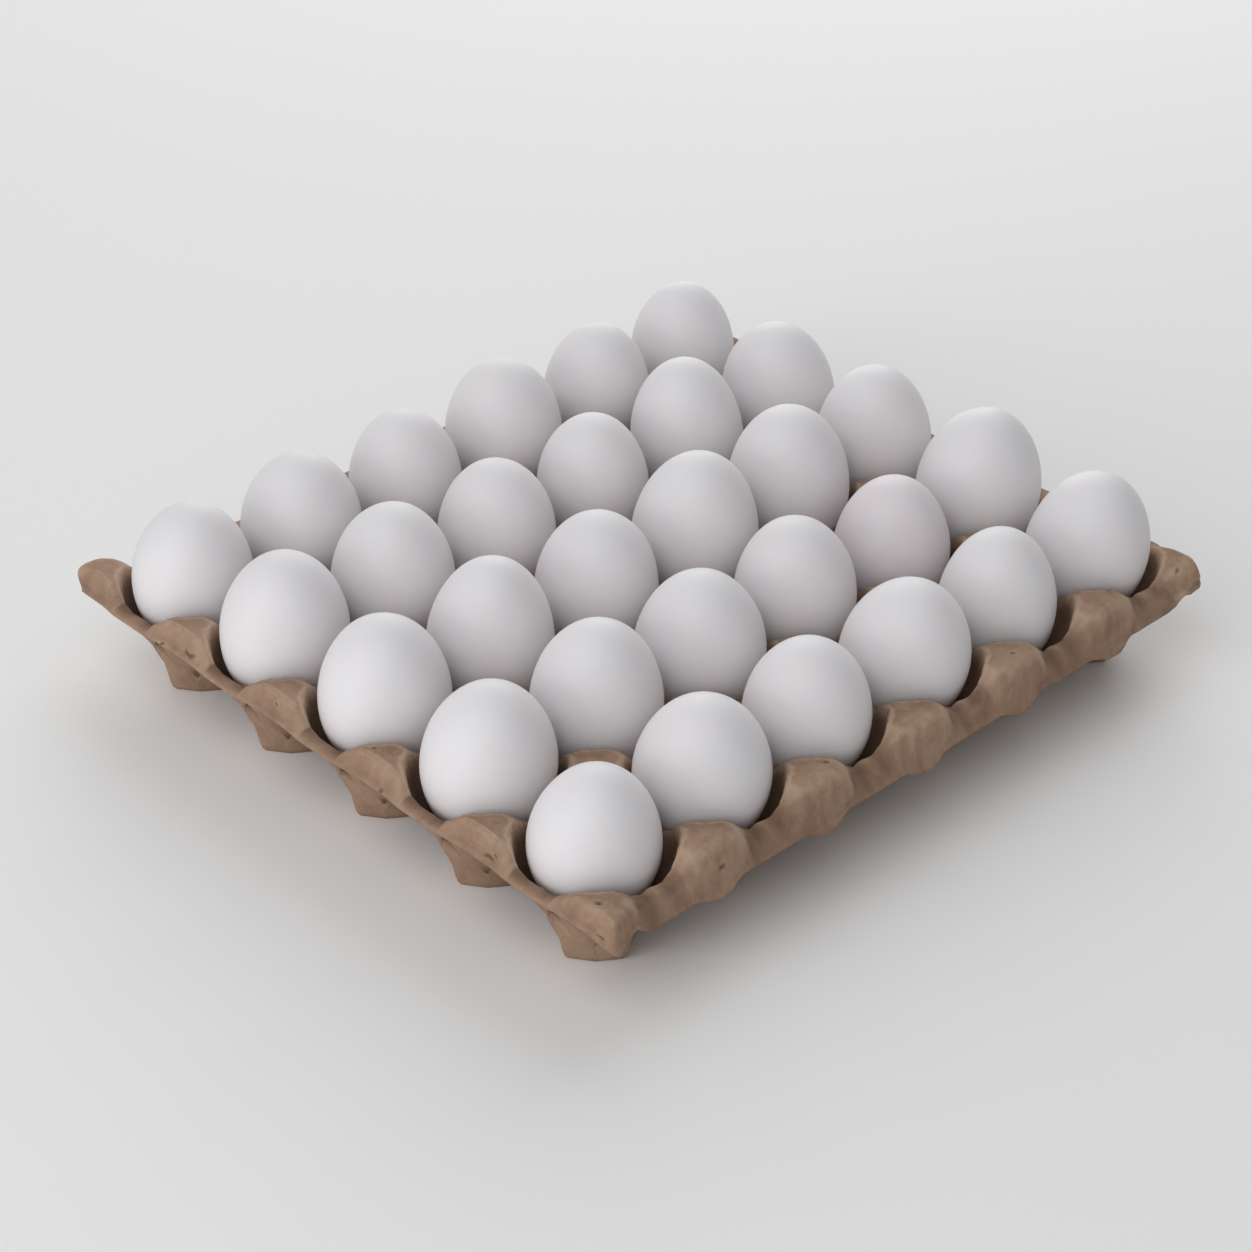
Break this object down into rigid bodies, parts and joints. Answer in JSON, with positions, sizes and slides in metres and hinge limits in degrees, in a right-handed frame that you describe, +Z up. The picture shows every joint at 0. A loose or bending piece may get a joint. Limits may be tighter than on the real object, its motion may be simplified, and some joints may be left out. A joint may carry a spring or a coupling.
{
  "type": "egg tray with eggs",
  "caption": "Open moulded-pulp egg tray with rounded posts and a plain rim, full of white eggs that stand on end in its cups.",
  "frame": {"origin": "middle of the tray's footprint, on the surface that its feet stand on", "axes": "+X along the rows of six cells, +Y across the five rows, +Z up"},
  "size_m": [0.302, 0.277, 0.0777],
  "materials": {
    "pulp": "matt, rough moulded grey-brown paper pulp",
    "eggshell": "smooth matt white eggshell"
  },
  "bodies": {
    "root": {"tray": "pulp", "egg_1_1": "eggshell", "egg_1_2": "eggshell", "egg_1_3": "eggshell", "egg_1_4": "eggshell", "egg_1_5": "eggshell", "egg_1_6": "eggshell", "egg_2_1": "eggshell", "egg_2_2": "eggshell", "egg_2_3": "eggshell", "egg_2_4": "eggshell", "egg_2_5": "eggshell", "egg_2_6": "eggshell", "egg_3_1": "eggshell", "egg_3_2": "eggshell", "egg_3_3": "eggshell", "egg_3_4": "eggshell", "egg_3_5": "eggshell", "egg_3_6": "eggshell", "egg_4_1": "eggshell", "egg_4_2": "eggshell", "egg_4_3": "eggshell", "egg_4_4": "eggshell", "egg_4_5": "eggshell", "egg_4_6": "eggshell", "egg_5_1": "eggshell", "egg_5_2": "eggshell", "egg_5_3": "eggshell", "egg_5_4": "eggshell", "egg_5_5": "eggshell", "egg_5_6": "eggshell"}
  },
  "joints": []
}
